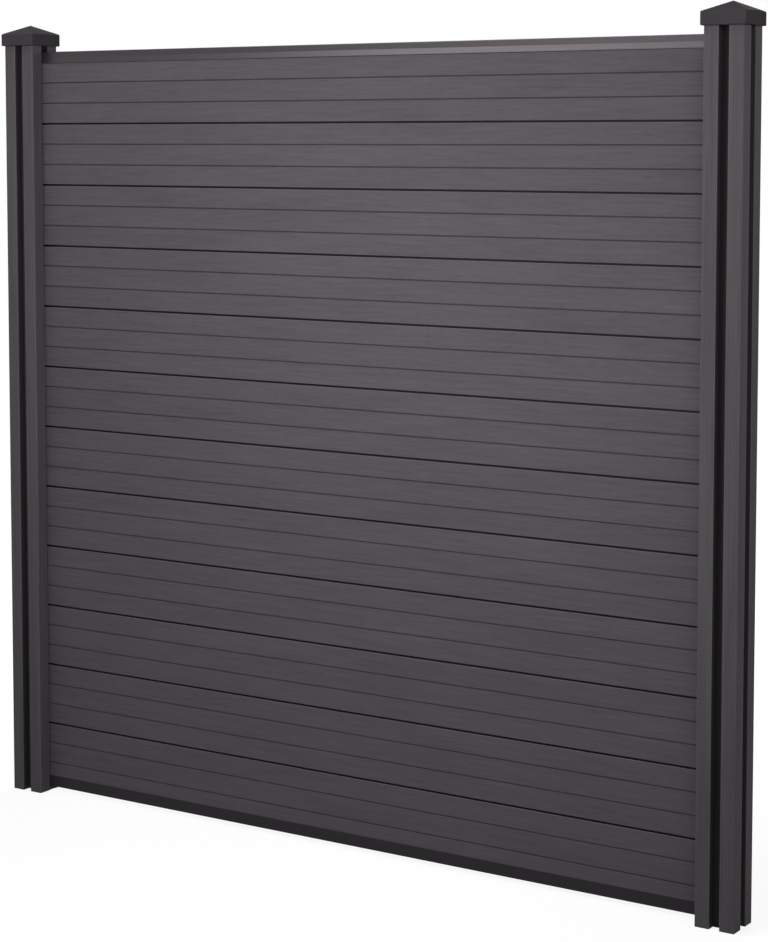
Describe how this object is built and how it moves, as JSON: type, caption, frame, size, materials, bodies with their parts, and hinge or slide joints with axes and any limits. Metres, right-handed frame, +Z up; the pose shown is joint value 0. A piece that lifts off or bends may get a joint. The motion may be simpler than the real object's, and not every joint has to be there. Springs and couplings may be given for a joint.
{
  "type": "composite fence panel",
  "caption": "Slatted composite fence bay: grooved tongue-and-groove boards stacked between metal rails, held in square four-way slotted posts with pyramid caps.",
  "frame": {"origin": "on the ground, below the middle of the bay", "axes": "+X along the fence to the right as seen from the front, -Y out of the front face, +Z up"},
  "size_m": [1.986, 0.101, 1.9152],
  "materials": {
    "board_composite": "charcoal wood-plastic composite, brushed with a fine grain along the board",
    "post_composite": "charcoal wood-plastic composite, brushed with fine upright lines",
    "cap_composite": "moulded charcoal composite, fine matt grain",
    "top_rail_coating": "charcoal powder coat, satin",
    "bottom_rail_coating": "near-black powder coat, satin",
    "support_block": "black recycled plastic, plain"
  },
  "bodies": {
    "root": {"board_01": "board_composite", "board_02": "board_composite", "board_03": "board_composite", "board_04": "board_composite", "board_05": "board_composite", "board_06": "board_composite", "board_07": "board_composite", "board_08": "board_composite", "board_09": "board_composite", "board_10": "board_composite", "board_11": "board_composite", "board_12": "board_composite", "bottom_rail": "bottom_rail_coating", "left_post": "post_composite", "left_post_cap": "cap_composite", "left_support_block": "support_block", "right_post": "post_composite", "right_post_cap": "cap_composite", "right_support_block": "support_block", "top_rail": "top_rail_coating"}
  },
  "joints": []
}
